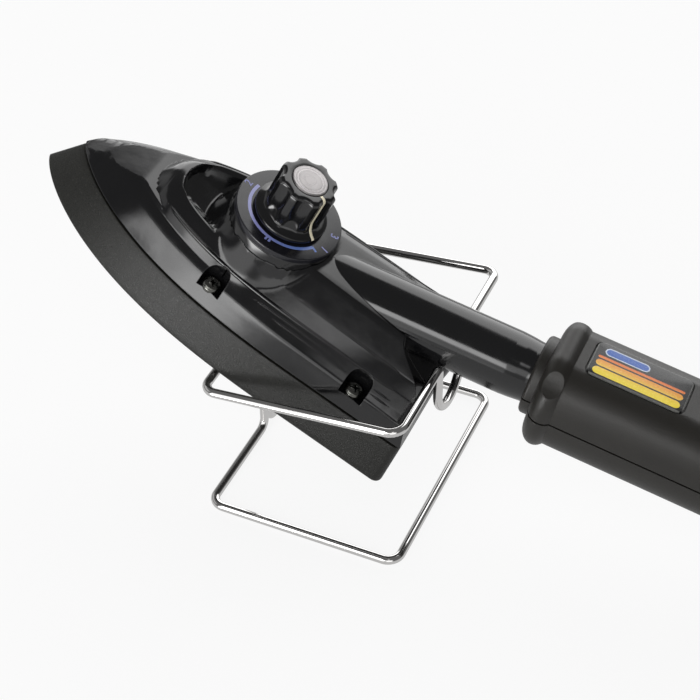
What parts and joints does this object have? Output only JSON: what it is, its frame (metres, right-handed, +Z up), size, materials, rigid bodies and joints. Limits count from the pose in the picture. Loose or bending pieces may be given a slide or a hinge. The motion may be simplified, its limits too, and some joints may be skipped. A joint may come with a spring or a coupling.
{
  "type": "heat sealing iron on stand",
  "caption": "Corded heat sealing iron with a pointed coated shoe, a dial knob and a round neck, lying in a bent wire stand.",
  "frame": {"origin": "middle of the whole object's box, on the level that the stand rests on", "axes": "+X from the shoe's nose to the handle's end in plan, +Y to the far side, +Z up"},
  "size_m": [0.2648, 0.065, 0.0834],
  "materials": {
    "chrome": "bright chromed wire",
    "coat": "dark release coating on cast aluminium",
    "gloss": "glossy black moulding",
    "satin": "satin black moulding",
    "steel": "plain steel",
    "screw": "dark chromed steel",
    "cap": "spun aluminium",
    "brass": "plain brass",
    "ceramic": "white ceramic",
    "mica": "pressed mica",
    "cream": "cream paint",
    "label": "printed plate with plain stripes",
    "sleeve": "glass fibre sleeve"
  },
  "bodies": {
    "stand": {"wire_stand": "chrome"},
    "iron": {"sole_plate": "coat", "heating_element": "steel", "insulation_sheet": "mica", "clamp_plate": "steel", "clamp_screw_front": "steel", "clamp_screw_rear": "steel", "cover": "gloss", "cover_screw_front_near": "screw", "cover_screw_front_far": "screw", "cover_screw_rear_near": "screw", "cover_screw_rear_far": "screw", "thermostat_frame": "steel", "ceramic_spacer_upper": "ceramic", "contact_blade": "brass", "ceramic_spacer_lower": "ceramic", "bimetal_blade": "brass", "stack_screw": "steel", "dial_disc": "gloss", "spindle_bush": "brass", "bush_nut": "brass", "grip_upper": "satin", "grip_lower": "satin", "grip_screw_front": "steel", "grip_screw_rear": "steel", "label_plate": "label", "terminal_block": "ceramic", "terminal_screw_near": "brass", "terminal_screw_far": "brass", "cord_clamp": "satin", "clamp_bar_screw_near": "steel", "clamp_bar_screw_far": "steel", "cord_gland": "satin", "lead_wire_near": "sleeve", "lead_wire_far": "sleeve"},
    "knob": {"knob_body": "gloss", "knob_cap": "cap", "knob_pointer": "cream", "knob_grub_screw": "steel", "spindle": "steel", "adjusting_pin": "ceramic"}
  },
  "joints": [
    {"name": "iron_lift", "type": "slide", "parent": "stand", "child": "iron", "axis": [0, 0, 1], "range_m": [0, 0.08]},
    {"name": "knob_turn", "type": "hinge", "parent": "iron", "child": "knob", "pos_m": [-0.06882, 0, 0.06937], "axis": [-0.4439, 0, -0.8961], "range_deg": [0, 300]}
  ]
}
